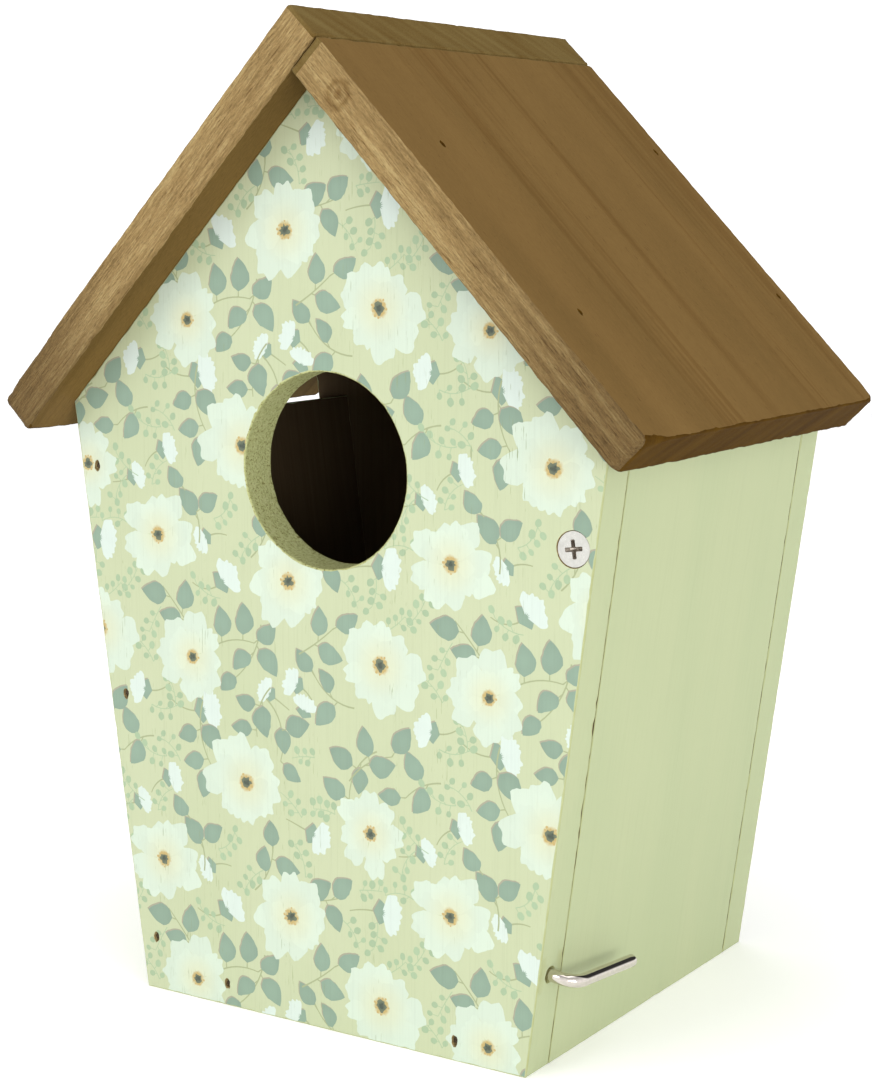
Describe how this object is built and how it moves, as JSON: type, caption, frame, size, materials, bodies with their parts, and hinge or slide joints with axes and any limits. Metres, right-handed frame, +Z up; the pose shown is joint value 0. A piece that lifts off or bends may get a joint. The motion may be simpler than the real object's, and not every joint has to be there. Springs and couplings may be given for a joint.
{
  "type": "birdhouse",
  "caption": "Tapered wooden nest box with a steep overlapping roof, a round entrance, a floral front and a side door that swings open under a turning hook latch.",
  "frame": {"origin": "centre of the underside, level with the bottom edges of the boards", "axes": "+Z up, -Y out of the front with the entrance, +X to the right as seen from the front, which is the side with the door"},
  "size_m": [0.1778, 0.122, 0.2371],
  "materials": {
    "printed_front": null,
    "painted_boards": "pale green paint, matt",
    "stained_roof": "brown stain with open grain",
    "nickel_screws": "nickel plated, satin",
    "nickel_hook": "bright nickel plated wire",
    "zinc_plate": "zinc plated sheet",
    "bare_brads": "dull bare steel"
  },
  "bodies": {
    "box": {"front_panel": "printed_front", "back_panel": "painted_boards", "left_side_panel": "painted_boards", "floor_board": "painted_boards", "roof_board_left": "stained_roof", "roof_board_right": "stained_roof", "hanger_plate": "zinc_plate", "hanger_screws": "zinc_plate", "front_panel_brads": "bare_brads", "back_panel_brads": "bare_brads", "roof_nails_left": "bare_brads", "roof_nails_right": "bare_brads"},
    "door": {"side_door": "painted_boards", "pivot_screw_front": "nickel_screws", "pivot_screw_back": "nickel_screws"},
    "latch": {"latch_hook": "nickel_hook"}
  },
  "joints": [
    {"name": "door_swing", "type": "hinge", "parent": "box", "child": "door", "pos_m": [0.066, 0, 0.121], "axis": [0, -1, 0], "range_deg": [0, 120]},
    {"name": "latch_turn", "type": "hinge", "parent": "box", "child": "latch", "pos_m": [0.05822, -0.0505, 0.02348], "axis": [0.9907, 0, -0.1357], "range_deg": [0, 96]}
  ]
}
